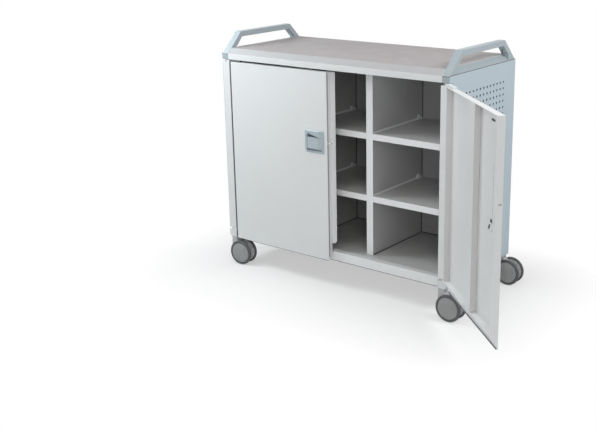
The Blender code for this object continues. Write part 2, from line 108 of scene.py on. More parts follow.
# Black sheet and plugs of painted shade behind the skin holes:
shade_sheet_margin = 0.012
shade_sheet_thickness = 0.0004
hole_shade_plug_depth = 0.0004
lip_thickness = 0.0012
lip_height = 0.006
lip_end = 0.003
lip_lift = 0.00005
clip_width = 0.015
clip_height = 0.010
clip_thickness = 0.0042
clip_inset = 0.030
clip_lift = 0.001
# Sizes of the dark corner lines, which are painted shade:
corner_shade_line = 0.0030
corner_depth = 0.0005
corner_end = 0.0005
corner_room = 0.002
floor_shade_line = 0.0028
# Dark strips of painted shade in the seams under the handles:
shade_seam_height = 0.0020
shade_seam_end = 0.001
shade_seam_front = (0.0006, 0.0009)
# Dark strips of painted shade under the bottom edges:
shade_strip_height = 0.0020
shade_strip_width = 0.0042
shade_strip_front = 0.0006
shade_strip_end = 0.004
# Grey strip of painted shade on the left door's free edge:
edge_shade_front = 0.0016
edge_shade_width = 0.0050
edge_shade_thickness = 0.0005
edge_shade_ends = (0.012, 0.002)
bolt_room = 0.0040
door_slot_length = 0.026
door_slot_height = 0.006
door_slot_inset = 0.079
door_slot_drop = 0.027
door_slot_layers = ((0.0014, 0.0001, 0.0006), (0.0, 0.0006, 0.0009))
keeper_plate = ((0.0630, -0.0425), (0.0790, -0.0335))
keeper_stud = ((0.0590, -0.0655), (0.0655, -0.0610))
keeper_hook = ((0.0810, -0.0505), (0.0860, -0.0505), (0.0930, -0.0645), (0.0880, -0.0645))
keeper_rises = (0.0016, 0.0022, 0.0012)
screw_radius = 0.0036
screw_head = 0.0022
screw_socket = 0.0011
screw_inset = 0.030
latch_edge_height = 0.0010
latch_insets = (0.0012, 0.0220, 0.0100, 0.0045)
scoop_length = 0.048
scoop_depth = 0.0125
scoop_radius = 0.0055
scoop_overlap = 0.004
scoop_side_gap = 0.0006
scoop_rises = (0.0012, 0.0065)
paddle_thickness = 0.004
paddle_knuckle = 0.003
paddle_plate_lift = 0.0075
paddle_gaps = (0.0016, 0.0010, 0.0007, 0.0008)
latch_pin_hole = 0.0018
free_edge_start = (0.38, 0.40)

# Rounding of edges
edge_round = {
    "worktop": 0.0014,
    "sheet": 0.0006,
    "thin_sheet": 0.0005,
    "moulding": 0.0012,
    "handle": 0.0028,
    "bar": 0.0008,
    "stem": 0.0010,
    "axle": 0.0004,
    "pin": 0.0003,
    "strip": 0.0002,
}

# Floor and light
floor_reach = 40.0
fade_span = (0.03, 0.34)
fade_start = 0.44
ambient = 0.08

# Camera, in the cabinet's own place, and the size of the image in pixels
image_width = 596
image_height = 429
camera_place = Vector((1.8820, -2.3913, 1.2261))
camera_yaw = math.radians(38.092)
camera_pitch = math.radians(15.900)
camera_roll = math.radians(-0.917)
focal_pixels = 974.55
optical_center = (330.0, 185.0)
sensor_width = 36.0

# Colours
white = (0.83, 0.84, 0.845)
white_edge = (0.89, 0.90, 0.905)
# Lighter white, painted light on front faces and on the lip:
painted_light_white = (0.90, 0.905, 0.91)
# Duller grey, painted shade on the right door's recess walls:
painted_recess_shade_grey = (0.66, 0.645, 0.635)
# Grey of inner faces, partly painted shade inside the compartments:
shaded_inside_grey = (0.485, 0.485, 0.48)
blue_grey = (0.50, 0.595, 0.66)
blue_grey_edge = (0.60, 0.68, 0.73)
handle_grey = (0.40, 0.465, 0.495)
handle_edge = (0.48, 0.54, 0.57)
laminate = (0.425, 0.392, 0.397)
laminate_fleck = (0.368, 0.341, 0.340)
band_grey = (0.505, 0.505, 0.515)
latch_blue = (0.485, 0.56, 0.595)
latch_edge = (0.58, 0.65, 0.69)
steel_grey = (0.62, 0.62, 0.62)
stem_grey = (0.56, 0.565, 0.57)
disc_grey = (0.33, 0.335, 0.335)
rubber_grey = (0.100, 0.102, 0.106)
dark_grey = (0.045, 0.045, 0.048)
# Dark grey for strips that are painted shade:
painted_shade_grey = (0.17, 0.17, 0.17)
# Grey of the strip that is painted shade along the left door's free edge:
edge_shade_grey = (0.33, 0.33, 0.335)
# Pale grey of the wheels' inner webs, partly painted light:
web_grey_with_painted_light = (0.70, 0.705, 0.71)
black = (0.008, 0.008, 0.009)


# Node helpers

def start_material(name):
    material = bpy.data.materials.new(name)
    material.use_nodes = True
    tree = material.node_tree
    return material, tree, tree.nodes["Principled BSDF"]


def texture_place(tree):
    return tree.nodes.new("ShaderNodeTexCoord")


def noise(tree, place, scale, detail=3.0, stretch=None):
    texture = tree.nodes.new("ShaderNodeTexNoise")
    texture.inputs["Scale"].default_value = scale
    texture.inputs["Detail"].default_value = detail
    source = place.outputs["Object"]
    if stretch:
        mapping = tree.nodes.new("ShaderNodeMapping")
        mapping.inputs["Scale"].default_value = stretch
        tree.links.new(source, mapping.inputs["Vector"])
        source = mapping.outputs["Vector"]
    tree.links.new(source, texture.inputs["Vector"])
    return texture.outputs["Fac"]


def spread(tree, source, from_low, from_high, to_low, to_high):
    node = tree.nodes.new("ShaderNodeMapRange")
    node.inputs["From Min"].default_value = from_low
    node.inputs["From Max"].default_value = from_high
    node.inputs["To Min"].default_value = to_low
    node.inputs["To Max"].default_value = to_high
    tree.links.new(source, node.inputs["Value"])
    return node.outputs["Result"]


def multiply(tree, first, second):
    node = tree.nodes.new("ShaderNodeMath")
    node.operation = "MULTIPLY"
    tree.links.new(first, node.inputs[0])
    tree.links.new(second, node.inputs[1])
    return node.outputs["Value"]


def set_colour(tree, socket, colour):
    if isinstance(colour, tuple):
        socket.default_value = (*colour, 1.0)
    else:
        tree.links.new(colour, socket)


def mix(tree, factor, first, second):
    node = tree.nodes.new("ShaderNodeMix")
    node.data_type = "RGBA"
    tree.links.new(factor, node.inputs["Factor"])
    set_colour(tree, node.inputs[6], first)
    set_colour(tree, node.inputs[7], second)
    return node.outputs[2]


def shade(colour, factor):
    return tuple(min(1.0, value * factor) for value in colour)


def edge_mask(tree, radius):
    """One on rounded edges and nought on flat faces."""
    rounded = tree.nodes.new("ShaderNodeBevel")
    rounded.samples = 4
    rounded.inputs["Radius"].default_value = radius
    surface = tree.nodes.new("ShaderNodeNewGeometry")
    match = tree.nodes.new("ShaderNodeVectorMath")
    match.operation = "DOT_PRODUCT"
    tree.links.new(rounded.outputs["Normal"], match.inputs[0])
    tree.links.new(surface.outputs["True Normal"], match.inputs[1])
    return spread(tree, match.outputs["Value"], 0.98, 0.80, 0.0, 1.0)


def bump(tree, shader, height, strength, distance):
    node = tree.nodes.new("ShaderNodeBump")
    node.inputs["Strength"].default_value = strength
    node.inputs["Distance"].default_value = distance
    tree.links.new(height, node.inputs["Height"])
    tree.links.new(node.outputs["Normal"], shader.inputs["Normal"])


def facing(tree, place, axis, low, high):
    """How far the surface faces along one axis of its own object, from nought at low to one at high."""
    parts = tree.nodes.new("ShaderNodeSeparateXYZ")
    tree.links.new(place.outputs["Normal"], parts.inputs["Vector"])
    return spread(tree, parts.outputs[axis], low, high, 0.0, 1.0)


def along(tree, source, direction):
    """The share of a vector that lies along a direction."""
    node = tree.nodes.new("ShaderNodeVectorMath")
    node.operation = "DOT_PRODUCT"
    tree.links.new(source, node.inputs[0])
    node.inputs[1].default_value = direction
    return node.outputs["Value"]


def painted_recess_shade_mask(tree, place):
    """Mask of painted shade: one on the right door's inner walls that face its free edge, and nought on that
    edge itself.
    """
    joint = joints["right_door_hinge"]
    opened = Matrix.Rotation(-math.radians(joint["range_deg"][0]), 3, "Z")
    reach = opened @ Vector((-1.0, 0.0, 0.0))
    start = Vector(joint["pos_m"]).dot(reach)
    walls = spread(tree, along(tree, place.outputs["Normal"], reach), 0.45, 0.75, 0.0, 1.0)
    near, far = (start + length for length in free_edge_start)
    inner = spread(tree, along(tree, place.outputs["Object"], reach), near, far, 1.0, 0.0)
    return multiply(tree, walls, inner)


# Finishes

def paint(name, colour, edge_colour, roughness, painted_shade_colour=None, painted_recess_shade=False):
    """Powder coat: cloudy tone, fine stipple, uneven gloss and thinner paint along the edges. It can also
    carry painted light and shade: a lighter colour on front faces with a grey on the other faces, and a
    duller grey on the right door's recess walls.
    """
    material, tree, shader = start_material(name)
    place = texture_place(tree)
    clouds = spread(tree, noise(tree, place, 2.4, 4.0), 0.3, 0.7, 0.0, 1.0)
    tone = mix(tree, clouds, shade(colour, 0.975), shade(colour, 1.02))
    # Painted light and shade: faces toward the front keep the lighter colour and all other faces take the
    # grey.
    if painted_shade_colour:
        inner = mix(tree, clouds, shade(painted_shade_colour, 0.95), shade(painted_shade_colour, 1.04))
        front = facing(tree, place, "Y", -0.55, -0.80)
        tone = mix(tree, front, inner, tone)
    # Painted shade: the right door's inner recess walls take a duller grey than its other faces.
    if painted_recess_shade:
        tone = mix(tree, painted_recess_shade_mask(tree, place), tone, painted_recess_shade_grey)
    scuffs = spread(tree, noise(tree, place, 26.0, 5.0, (1.0, 1.0, 0.25)), 0.68, 0.80, 0.0, 0.25)
    tone = mix(tree, scuffs, tone, shade(colour, 0.80))
    thin = spread(tree, noise(tree, place, 90.0, 3.0), 0.35, 0.65, 0.1, 0.6)
    worn = multiply(tree, edge_mask(tree, 0.0018), thin)
    tree.links.new(mix(tree, worn, tone, edge_colour), shader.inputs["Base Color"])
    gloss = spread(tree, noise(tree, place, 14.0, 4.0), 0.3, 0.7, roughness - 0.05, roughness + 0.07)
    tree.links.new(gloss, shader.inputs["Roughness"])
    bump(tree, shader, noise(tree, place, 1300.0, 2.0), 0.10, 0.0003)
    return material


def worktop_finish(name):
    """Flecked laminate on top, with a painted slope and front edge."""
    material, tree, shader = start_material(name)
    place = texture_place(tree)
    clouds = spread(tree, noise(tree, place, 3.0, 5.0), 0.3, 0.7, 0.0, 1.0)
    top = mix(tree, clouds, shade(laminate, 0.99), shade(laminate, 1.01))
    flecks = spread(tree, noise(tree, place, 1500.0, 2.0), 0.56, 0.70, 0.0, 0.65)
    top = mix(tree, flecks, top, laminate_fleck)
    grain = spread(tree, noise(tree, place, 60.0, 4.0, (0.06, 1.0, 1.0)), 0.45, 0.75, 0.0, 0.12)
    top = mix(tree, grain, top, shade(laminate, 0.90))
    edge = mix(tree, clouds, shade(white, 0.98), shade(white, 1.02))
    slope = mix(tree, clouds, shade(band_grey, 0.97), shade(band_grey, 1.03))
    edge = mix(tree, facing(tree, place, "Z", 0.35, 0.60), edge, slope)
    tone = mix(tree, facing(tree, place, "Z", 0.86, 0.96), edge, top)
    thin = spread(tree, noise(tree, place, 90.0, 3.0), 0.35, 0.65, 0.1, 0.5)
    worn = multiply(tree, edge_mask(tree, 0.0018), thin)
    tree.links.new(mix(tree, worn, tone, white_edge), shader.inputs["Base Color"])
    gloss = spread(tree, noise(tree, place, 20.0, 4.0), 0.3, 0.7, 0.40, 0.54)
    tree.links.new(gloss, shader.inputs["Roughness"])
    shader.inputs["Specular IOR Level"].default_value = 0.10
    bump(tree, shader, noise(tree, place, 1500.0, 2.0), 0.10, 0.0002)
    return material


def moulding(name, colour, edge_colour, roughness, grain):
    """Moulded plastic or rubber with a fine matt grain and paler edges."""
    material, tree, shader = start_material(name)
    place = texture_place(tree)
    clouds = spread(tree, noise(tree, place, 30.0, 4.0), 0.3, 0.7, 0.0, 1.0)
    tone = mix(tree, clouds, shade(colour, 0.93), shade(colour, 1.07))
    dust = spread(tree, noise(tree, place, 240.0, 4.0), 0.60, 0.78, 0.0, 0.30)
    tone = mix(tree, dust, tone, edge_colour)
    worn = spread(tree, edge_mask(tree, 0.0015), 0.0, 1.0, 0.0, 0.35)
    tree.links.new(mix(tree, worn, tone, edge_colour), shader.inputs["Base Color"])
    gloss = spread(tree, noise(tree, place, 120.0, 3.0), 0.3, 0.7, roughness - 0.06, roughness + 0.08)
    tree.links.new(gloss, shader.inputs["Roughness"])
    bump(tree, shader, noise(tree, place, grain, 2.0), 0.16, 0.0003)
    return material


def plated_steel(name):
    """Bright plating with faint drawn lines and cloudy gloss."""
    material, tree, shader = start_material(name)
    place = texture_place(tree)
    lines = noise(tree, place, 420.0, 3.0, (1.0, 1.0, 0.05))
    bands = spread(tree, lines, 0.3, 0.7, 0.0, 1.0)
    tone = mix(tree, bands, shade(steel_grey, 0.90), shade(steel_grey, 1.08))
    tree.links.new(tone, shader.inputs["Base Color"])
    shader.inputs["Metallic"].default_value = 1.0
    gloss = spread(tree, noise(tree, place, 90.0, 3.0), 0.3, 0.7, 0.24, 0.40)
    tree.links.new(gloss, shader.inputs["Roughness"])
    bump(tree, shader, lines, 0.08, 0.0002)
    return material


finish = {
    "white_paint": paint("white_powder_coat", white, white_edge, 0.42),
    # Shelves, dividers and bottom panel: painted light on their front faces and painted shade on their other
    # faces.
    "painted_light_and_shade": paint("painted_lit_front_shaded_inside", painted_light_white, painted_light_white, 0.45, shaded_inside_grey),
    # The right door's finish carries painted shade on its recess walls.
    "door_paint_with_painted_shade": paint("white_coat_painted_recess_shade", white, white_edge, 0.42, painted_recess_shade=True),
    # The lip's lighter white is painted light on its front.
    "lip_paint_painted_light": paint("lip_coat_painted_light", painted_light_white, painted_light_white, 0.42),
    # Grey coat that is partly painted shade inside the compartments:
    "inside_paint": paint("grey_inside_coat_painted_shade", shaded_inside_grey, shade(shaded_inside_grey, 1.2), 0.52),
    "blue_grey_paint": paint("blue_grey_powder_coat", blue_grey, blue_grey_edge, 0.44),
    "handle_paint": paint("handle_coat", handle_grey, handle_edge, 0.40),
    "worktop_laminate": worktop_finish("flecked_laminate"),
    "latch_moulding": moulding("latch_plastic", latch_blue, latch_edge, 0.38, 1100.0),
    "bright_steel": plated_steel("plated_steel"),
    "caster_moulding": moulding("caster_plastic", stem_grey, shade(stem_grey, 1.25), 0.48, 900.0),
    # Dark rubber for painted shade: strips in gaps, seams and under bottom edges, and the left door's arms:
    "painted_shade_rubber": moulding("painted_shade_rubber", painted_shade_grey, shade(painted_shade_grey, 1.6), 0.60, 700.0),
    # Black sheet that is painted shade behind the skin holes and in the compartments' corners:
    "painted_shade_sheet": moulding("black_painted_shade_sheet", black, shade(black, 1.5), 0.85, 700.0),
    # Grey plastic for the strip of painted shade on the left door's free edge:
    "edge_shade_strip": moulding("edge_shade_strip_plastic", edge_shade_grey, shade(edge_shade_grey, 1.2), 0.50, 900.0),
    "wheel_web": moulding("wheel_web_plastic", web_grey_with_painted_light, shade(web_grey_with_painted_light, 1.25), 0.50, 900.0),
    "disc": moulding("wheel_disc_plastic", disc_grey, shade(disc_grey, 1.35), 0.42, 900.0),
    "wheel_rubber": moulding("tread_rubber", rubber_grey, shade(rubber_grey, 1.8), 0.58, 700.0),
    # Dark plastic of the catch and keeper, also used as painted shade inside the right door's slot:
    "catch_moulding": moulding("catch_plastic", dark_grey, shade(dark_grey, 1.8), 0.50, 900.0),
}


# Rounded edges on the pieces that come from the part

def even_shading_group():
    group = bpy.data.node_groups.new("even_shading", "GeometryNodeTree")
    group.interface.new_socket("Geometry", in_out="INPUT", socket_type="NodeSocketGeometry")
    group.interface.new_socket("Geometry", in_out="OUTPUT", socket_type="NodeSocketGeometry")
    start = group.nodes.new("NodeGroupInput")
    clear = group.nodes.new("GeometryNodeRemoveAttribute")
    clear.inputs["Name"].default_value = "custom_normal"
    smooth = group.nodes.new("GeometryNodeSetShadeSmooth")
    end = group.nodes.new("NodeGroupOutput")
    group.links.new(start.outputs[0], clear.inputs["Geometry"])
    group.links.new(clear.outputs["Geometry"], smooth.inputs["Geometry"])
    group.links.new(smooth.outputs["Geometry"], end.inputs[0])
    return group


even_shading = even_shading_group()


def round_edges(piece, width, segments):
    edges = piece.modifiers.new("rounded_edges", "BEVEL")
    edges.width = width
    edges.segments = segments
    edges.limit_method = "ANGLE"
    return edges


def soften(node, width, segments):
    shading = node.modifiers.new("even_shading", "NODES")
    shading.node_group = even_shading
    weld = node.modifiers.new("weld", "WELD")
    weld.merge_threshold = 0.00002
    flat = node.modifiers.new("flat_faces", "DECIMATE")
    flat.decimate_type = "DISSOLVE"
    flat.angle_limit = math.radians(0.6)
    edges = round_edges(node, width, segments)
    edges.angle_limit = math.radians(28)
    edges.harden_normals = True


def dress(name, material, edge, segments=2):
    node = nodes[name]
    node.data.materials.clear()
    node.data.materials.append(finish[material])
    soften(node, edge_round[edge], segments)


def dress_carcass():
    dress("worktop", "worktop_laminate", "worktop", 3)
    # Bottom panel, dividers and shelves: painted light on front faces, painted shade on the others.
    dress("bottom_panel", "painted_light_and_shade", "sheet")
    # The back panel's grey is partly painted shade inside the compartments.
    dress("back_panel", "inside_paint", "sheet")
    dress("magnet_catch", "catch_moulding", "moulding", 3)
    for side in sides:
        dress(f"{side}_side_panel", "white_paint", "sheet")
        dress(f"{side}_handle", "handle_paint", "handle", 4)
        dress(f"{side}_divider", "painted_light_and_shade", "sheet")
    for column in columns:
        for level in levels:
            dress(f"{column}_{level}_shelf", "painted_light_and_shade", "thin_sheet")


def dress_doors():
    # The right door's pan and stiffener take the finish with painted shade on their recess walls.
    for side, material in (("left", "white_paint"), ("right", "door_paint_with_painted_shade")):
        dress(f"{side}_door_pan", material, "sheet")
        dress(f"{side}_door_stiffener", material, "sheet")
    for level in levels:
        # The left door's arms are dark rubber: painted shade, for the shadow line under the worktop.
        dress(f"left_{level}_arm", "painted_shade_rubber", "bar")
        dress(f"right_{level}_arm", "white_paint", "bar")
    dress("right_door_strike", "bright_steel", "bar")
    # The lip takes a lighter white than the door: painted light on its front.
    dress("left_door_lip", "lip_paint_painted_light", "thin_sheet")
    dress("latch_pin", "bright_steel", "pin")
    dress("latch_bolt", "bright_steel", "bar", 3)


def dress_casters():
    for corner in corners:
        dress(f"{corner}_stem", "caster_moulding", "stem")
        dress(f"{corner}_caster_body", "caster_moulding", "moulding", 3)
        dress(f"{corner}_axle", "bright_steel", "axle")


# Solid builders

def object_from(builder, name, *materials):
    bmesh.ops.remove_doubles(builder, verts=builder.verts, dist=0.000005)
    bmesh.ops.recalc_face_normals(builder, faces=builder.faces)
    mesh = bpy.data.meshes.new(name)
    builder.to_mesh(mesh)
    builder.free()
    for material in materials:
        mesh.materials.append(finish[material])
    piece = bpy.data.objects.new(name, mesh)
    bpy.context.scene.collection.objects.link(piece)
    return piece


def prism(builder, outline, axis, start, end, material=0):
    """Closed outline in the two other axes, in X, Y, Z order, drawn out along one axis."""
    rings = []
    for place in (start, end):
        ring = []
        for first, second in outline:
            point = [first, second]
            point.insert("XYZ".index(axis), place)
            ring.append(builder.verts.new(point))
        rings.append(ring)
    faces = [builder.faces.new(rings[0]), builder.faces.new(rings[1])]
    faces += join_rings(builder, rings[0], rings[1])
    for face in faces:
        face.material_index = material


def add_block(builder, low, high):
    outline = ((low[0], low[1]), (high[0], low[1]), (high[0], high[1]), (low[0], high[1]))
    prism(builder, outline, "Z", low[2], high[2])


def join_rings(builder, first, second):
    faces = []
    count = len(first)
    for index in range(count):
        after = (index + 1) % count
        faces.append(builder.faces.new((first[index], first[after], second[after], second[index])))
    return faces


def turn(builder, profile, steps, materials=None):
    """Turns a list of (radius, height) about Z, where a radius of nought closes the end."""
    rings = []
    for radius, height in profile:
        if radius == 0.0:
            rings.append([builder.verts.new((0.0, 0.0, height))])
            continue
        ring = []
        for step in range(steps):
            angle = 2 * math.pi * step / steps
            ring.append(builder.verts.new((radius * math.cos(angle), radius * math.sin(angle), height)))
        rings.append(ring)
    for index in range(len(rings) - 1):
        first, second = rings[index], rings[index + 1]
        slot = materials[index] if materials else 0
        for step in range(steps):
            after = (step + 1) % steps
            corner = [first[step % len(first)], first[after % len(first)]]
            corner += [second[after % len(second)], second[step % len(second)]]
            face = builder.faces.new(list(dict.fromkeys(corner)))
            face.material_index = slot


def arc(center, radius, start, end, steps):
    points = []
    for step in range(steps + 1):
        angle = math.radians(start + (end - start) * step / steps)
        points.append((center[0] + radius * math.cos(angle), center[1] + radius * math.sin(angle)))
    return points


def circle(center, radius, count):
    return arc(center, radius, 0, 360 - 360 / count, count - 1)


def rounded_box(low, high, radius, steps=4):
    """Outline of a rectangle with round corners, from its low and high corners."""
    right, left = high[0] - radius, low[0] + radius
    top, bottom = high[1] - radius, low[1] + radius
    points = []
    for index, center in enumerate(((right, top), (left, top), (left, bottom), (right, bottom))):
        points += arc(center, radius, 90 * index, 90 * index + 90, steps)
    return points


def add_turned(builder, profile, steps, place):
    before = set(builder.verts)
    turn(builder, profile, steps)
    added = [vert for vert in builder.verts if vert not in before]
    bmesh.ops.transform(builder, matrix=place, verts=added)


def smooth_shade(piece, degrees=35):
    piece.data.polygons.foreach_set("use_smooth", [True] * len(piece.data.polygons))
    piece.data.set_sharp_from_angle(angle=math.radians(degrees))


def cut_out(piece, cutter):
    operation = piece.modifiers.new("cut", "BOOLEAN")
    operation.operation = "DIFFERENCE"
    operation.solver = "EXACT"
    operation.object = cutter
    graph = bpy.context.evaluated_depsgraph_get()
    result = bpy.data.meshes.new_from_object(piece.evaluated_get(graph))
    piece.modifiers.clear()
    piece.data = result
    bpy.data.objects.remove(cutter)


def fit(piece, body, edge=None, segments=2):
    """Rounds a new piece's edges and hangs it on its body."""
    if edge:
        round_edges(piece, edge_round[edge], segments)
    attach(piece, body)


# Perforated skins

def skin_outline(side):
    lower_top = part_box(f"{side}_lower_arm")[1].z
    upper_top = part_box(f"{side}_upper_arm")[1].z
    drop = arm_thickness + arm_slot_clearance
    slots = ((lower_top - drop, lower_top + arm_slot_clearance), (upper_top - drop, panel_top))
    notch = front_y + arm_slot_depth
    outline = [(front_y, skin_low.z)]
    for low, high in slots:
        outline += [(front_y, low), (notch, low), (notch, high), (front_y, high)]
    back_y = front_y + cabinet_depth
    return outline + [(front_y, skin_high.z), (back_y, skin_high.z), (back_y, skin_low.z)]


def hole_centers():
    centers = []
    for column in range(hole_columns):
        y = front_y + cabinet_depth / 2 + (column - (hole_columns - 1) / 2) * hole_pitch_y
        for row in range(hole_rows):
            centers.append((y, panel_top - hole_top_drop - row * hole_pitch_z))
    return centers


def hole_cutter(low_x, high_x):
    builder = bmesh.new()
    for center in hole_centers():
        outline = circle(center, hole_diameter / 2, hole_sides)
        prism(builder, outline, "X", low_x - sheet, high_x + sheet)
    return object_from(builder, "hole_cutter")


def build_skins():
    for side in sides:
        low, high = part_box(f"{side}_side_skin")
        builder = bmesh.new()
        prism(builder, skin_outline(side), "X", low.x, high.x)
        skin = object_from(builder, f"{side}_perforated_skin", "blue_grey_paint")
        cut_out(skin, hole_cutter(low.x, high.x))
        fit(skin, "cabinet", "pin", 1)
        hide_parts(f"{side}_side_skin")


def build_hole_shade_sheets():
    """Black sheets and plugs behind the holes of both skins: painted shade that makes the holes look dark.
    """
    half_y = (hole_columns - 1) / 2 * hole_pitch_y + shade_sheet_margin
    middle_y = front_y + cabinet_depth / 2
    top = panel_top - hole_top_drop + shade_sheet_margin
    bottom = top - (hole_rows - 1) * hole_pitch_z - 2 * shade_sheet_margin
    outline = rounded_box((middle_y - half_y, bottom), (middle_y + half_y, top), shade_sheet_margin)
    hole_shade_plug_radius = hole_diameter / 2 - hole_shade_plug_clearance
    for side, back, inward in (("left", far_skin_high.x, 1), ("right", skin_low.x, -1)):
        builder = bmesh.new()
        near = back + inward * shade_sheet_thickness / 4
        prism(builder, outline, "X", near, near + inward * shade_sheet_thickness)
        face = near - inward * (sheet - hole_shade_plug_depth)
        root = near + inward * shade_sheet_thickness / 2
        for center in hole_centers():
            prism(builder, circle(center, hole_shade_plug_radius, hole_shade_plug_sides), "X", face, root)
        liner = object_from(builder, f"{side}_perforation_shade_sheet", "painted_shade_sheet")
        fit(liner, "cabinet")


# Wheels

def wheel_mesh(radius, width):
    """Wheel about Z, with its outer disc at the top: domed disc, dark tyre, pale ribbed web inside, whose
    paleness is partly painted light on a face that lies in shade.
    """
    disc = radius * 0.775
    rim = radius * 0.86
    hub = radius * 0.36
    edge = width - disc_crown
    profile = [(disc * step / 8, width - disc_crown * (step / 8) ** 2) for step in range(9)]
    profile += [(disc + out, edge - down) for out, down in disc_groove]
    disc_faces = len(profile) - 3
    outer = radius - tyre_corner
    profile += arc((outer, edge - tyre_shoulder - tyre_corner), tyre_corner, 80, 8, 6)
    profile += arc((outer, tyre_corner), tyre_corner, -8, -85, 6)
    tyre_faces = len(profile)
    profile += [
        (rim, 0.0004),
        (rim - 0.0008, 0.0014),
        (rim - 0.0014, web_depth),
        (hub + 0.0006, web_depth),
        (hub, 0.0006),
        (hub - 0.0008, 0.0),
        (wheel_bore, 0.0),
        (wheel_bore, wheel_bore_depth),
        (0.0, wheel_bore_depth),
    ]
    materials = []
    for index in range(len(profile) - 1):
        materials.append(0 if index < disc_faces else 1 if index < tyre_faces else 2)
    builder = bmesh.new()
    turn(builder, profile, wheel_steps, materials)
    for rib in range(wheel_ribs):
        add_rib(builder, hub - 0.0010, rim - 0.0004, 2 * math.pi * rib / wheel_ribs)
    wheel = object_from(builder, "wheel", "disc", "wheel_rubber", "wheel_web")
    smooth_shade(wheel, 32)
    mesh = wheel.data
    bpy.data.objects.remove(wheel)
    return mesh


def add_rib(builder, inner, outer, angle):
    low, high = rib_span
    before = set(builder.verts)
    outline = ((inner, low), (outer, low), (outer, high), (inner, high))
    prism(builder, outline, "Y", -rib_half, rib_half, 2)
    added = [vert for vert in builder.verts if vert not in before]
    bmesh.ops.rotate(builder, verts=added, cent=(0, 0, 0), matrix=Matrix.Rotation(angle, 3, "Z"))


def build_wheels():
    low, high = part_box("front_right_near_wheel")
    radius = (low.z + high.z) / 2
    width = high.y - low.y
    inner_face = joints["front_right_near_spin"]["pos_m"][1] - high.y
    mesh = wheel_mesh(radius, width)
    for corner in corners:
        for side, sign in (("near", -1), ("far", 1)):
            joint = joints[f"{corner}_{side}_spin"]
            outward = sign * Vector(joint["axis"]).normalized()
            wheel = bpy.data.objects.new(f"{corner}_{side}_twin_wheel", mesh)
            bpy.context.scene.collection.objects.link(wheel)
            place = Matrix.Translation(Vector(joint["pos_m"]) + outward * inner_face)
            wheel.matrix_world = place @ outward.to_track_quat("Z", "Y").to_matrix().to_4x4()
            fit(wheel, f"{corner}_{side}")
            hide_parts(f"{corner}_{side}_wheel")


# Latch

def latch_frame(low, high):
    """Chamfered frame on the door's face, with its cup behind it."""
    cup_low, cup_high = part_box("latch_pin")
    cup_x = (cup_low.x, cup_high.x)
    cup_tall = (high.z - low.z) / 2 - latch_insets[0]
    middle_z = (low.z + high.z) / 2
    left, right, bottom, top = latch_insets
    cup = rounded_box((cup_x[0], middle_z - cup_tall), (cup_x[1], middle_z + cup_tall), 0.002)
    outer = rounded_box((low.x, low.z), (high.x, high.z), 0.0040)
    face = rounded_box((low.x + left, low.z + bottom), (high.x - right, high.z - top), 0.0015)
    back = front_y - hair_gap
    steps = ((cup, high.y), (cup, back), (outer, back), (outer, back - latch_edge_height), (face, low.y))
    builder = bmesh.new()
    rings = [[builder.verts.new((x, y, z)) for x, z in outline] for outline, y in steps]
    builder.faces.new(rings[0])
    builder.faces.new(rings[-1])
    for first, second in zip(rings, rings[1:]):
        join_rings(builder, first, second)
    return object_from(builder, "latch_frame", "latch_moulding")


def pocket_cutter(low, high, paddle_low, paddle_high):
    """The room in which the paddle lies and turns."""
    rim_gap, floor_room, top_gap, side_gap = paddle_gaps
    rim = paddle_low.z - rim_gap
    floor = paddle_low.z - floor_room
    top = paddle_high.z + top_gap
    deep = high.y - sheet
    front = low.y - overshoot
    outline = ((front, rim), (front_y, rim), (front_y, floor), (deep, floor), (deep, top), (front, top))
    builder = bmesh.new()
    prism(builder, outline, "X", paddle_low.x - side_gap, paddle_high.x + side_gap)
    return object_from(builder, "pocket_cutter")


def scoop_cutter(low, paddle_low, paddle_high):
    """Finger scoop above the paddle: high and round at its left end, narrowing to the right."""
    left = paddle_low.x - scoop_side_gap
    right = left + scoop_length
    top = paddle_high.z
    right_rise, left_rise = scoop_rises
    outline = [(left, top - scoop_overlap), (right, top - scoop_overlap), (right, top + right_rise)]
    outline += arc((left + scoop_radius, top + left_rise), scoop_radius, 75, 180, 8)
    builder = bmesh.new()
    prism(builder, outline, "Y", low.y - overshoot, low.y + scoop_depth)
    return object_from(builder, "scoop_cutter")


def latch_paddle(low, high, bezel_low, bezel_high):
    """Plate that hangs on its pin, with its right end falling back in line with the frame's slope."""
    pin_y, pin_z = joints["paddle_turn"]["pos_m"][1:]
    front = low.y
    back = front + paddle_thickness
    plate_low = low.z + paddle_plate_lift
    crease = bezel_high.x - latch_insets[1]
    drop = front_y - latch_edge_height - bezel_low.y
    fall_at_end = drop * (high.x - crease) / latch_insets[1]
    knuckle = arc((pin_y, pin_z), paddle_knuckle, -180, 90, 10)
    builder = bmesh.new()
    rings = []
    for x, fall in ((low.x, 0.0), (crease, 0.0), (high.x, fall_at_end)):
        outline = [(back, high.z), (front + fall, high.z), (front + fall, plate_low), *knuckle]
        outline.append((back, pin_z + 2 * paddle_knuckle))
        rings.append([builder.verts.new((x, y, z)) for y, z in outline])
    builder.faces.new(rings[0])
    builder.faces.new(rings[-1])
    for first, second in zip(rings, rings[1:]):
        join_rings(builder, first, second)
    paddle = object_from(builder, "latch_pull_paddle", "latch_moulding")
    bore = bmesh.new()
    prism(bore, circle((pin_y, pin_z), latch_pin_hole, 24), "X", low.x - sheet, high.x + sheet)
    cut_out(paddle, object_from(bore, "pin_bore"))
    return paddle


